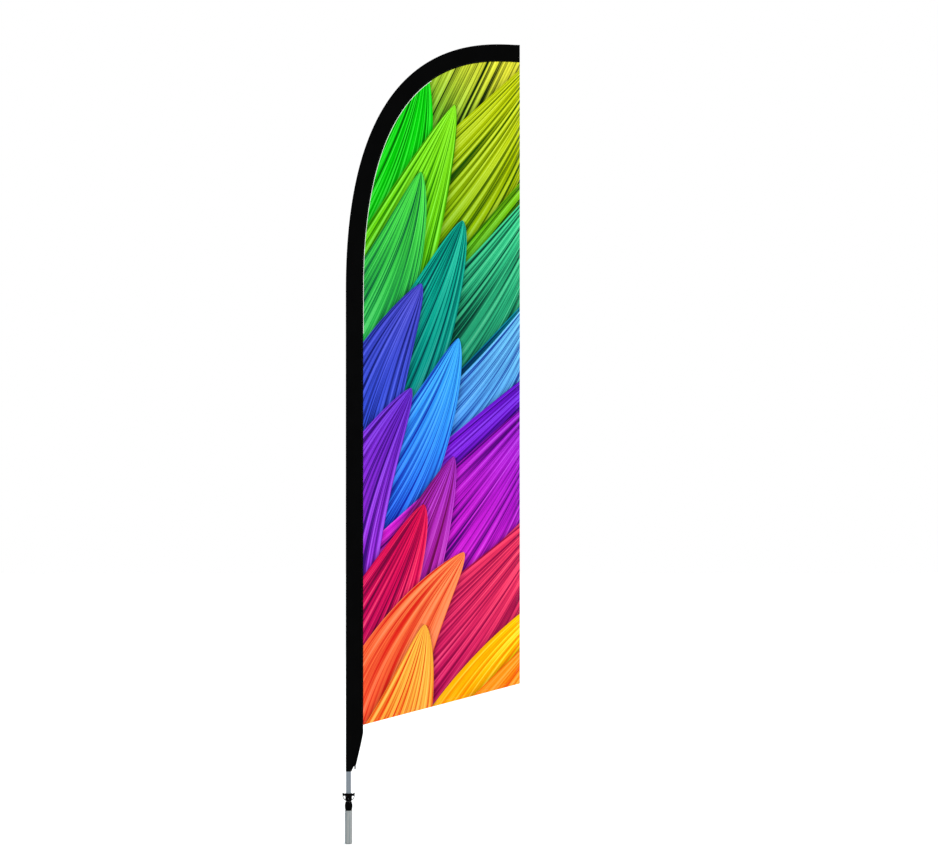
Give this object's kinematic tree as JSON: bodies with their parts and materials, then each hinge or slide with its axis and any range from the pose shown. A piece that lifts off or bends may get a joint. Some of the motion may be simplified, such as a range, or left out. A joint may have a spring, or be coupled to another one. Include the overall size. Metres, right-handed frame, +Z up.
{
  "type": "feather flag with pole",
  "caption": "Feather flag: a tall printed fabric panel on a black pole sleeve over a sectional pole bent at the top, turning on a ball-bearing ground fitting.",
  "frame": {"origin": "on the pole's axis, in the flat face of the ground tube's foot", "axes": "+Z up along the pole; +X from the pole towards the fly edge; Y through the cloth's thickness"},
  "size_m": [0.7127, 0.0308, 3.2136],
  "materials": {
    "galvanised_steel": "dull zinc, faintly spangled",
    "bright_steel": "turned and polished",
    "pole_aluminium": "drawn, satin anodised",
    "black_plastic": "moulded, fine texture",
    "black_rubber": "matt",
    "fibreglass": "satin, wound",
    "black_fabric": "plain-woven black polyester",
    "printed_fabric": "knitted polyester, dye-sublimation print of flowing coloured strands"
  },
  "bodies": {
    "ground": {"ground_tube": "galvanised_steel", "foot_plug": "black_plastic", "bearing_housing": "black_plastic", "dust_seal": "black_rubber", "upper_outer_race": "bright_steel", "lower_outer_race": "bright_steel"},
    "rotor": {"spindle": "bright_steel", "upper_inner_race": "bright_steel", "lower_inner_race": "bright_steel", "bearing_spacer": "pole_aluminium", "retaining_ring": "bright_steel", "eared_collar": "black_plastic", "collar_pin": "bright_steel"},
    "upper_cage": {"upper_ball_cage": "bright_steel"},
    "lower_cage": {"lower_ball_cage": "bright_steel"},
    "flag": {"pole_base_tube": "pole_aluminium", "pole_middle_tube": "pole_aluminium", "middle_ferrule": "bright_steel", "pole_upper_rod": "fibreglass", "tip_ferrule": "bright_steel", "pole_tip_rod": "fibreglass", "tip_cap": "black_rubber", "tip_pad": "black_fabric", "pole_sleeve": "black_fabric", "mouth_binding": "black_fabric", "sleeve_tab": "black_fabric", "flag_panel": "printed_fabric"}
  },
  "joints": [
    {"name": "flag_turn", "type": "hinge", "parent": "ground", "child": "rotor", "pos_m": [0, 0, 0.1598], "axis": [0, 0, 1], "continuous": true},
    {"name": "upper_cage_turn", "type": "hinge", "parent": "ground", "child": "upper_cage", "pos_m": [0, 0, 0.1598], "axis": [0, 0, 1], "continuous": true},
    {"name": "lower_cage_turn", "type": "hinge", "parent": "ground", "child": "lower_cage", "pos_m": [0, 0, 0.1042], "axis": [0, 0, 1], "continuous": true},
    {"name": "pole_lift", "type": "slide", "parent": "rotor", "child": "flag", "axis": [0, 0, 1], "range_m": [0, 0.145]}
  ],
  "couplings": [
    {"joint": "upper_cage_turn", "follows": "flag_turn", "ratio": 0.418},
    {"joint": "lower_cage_turn", "follows": "flag_turn", "ratio": 0.418}
  ]
}
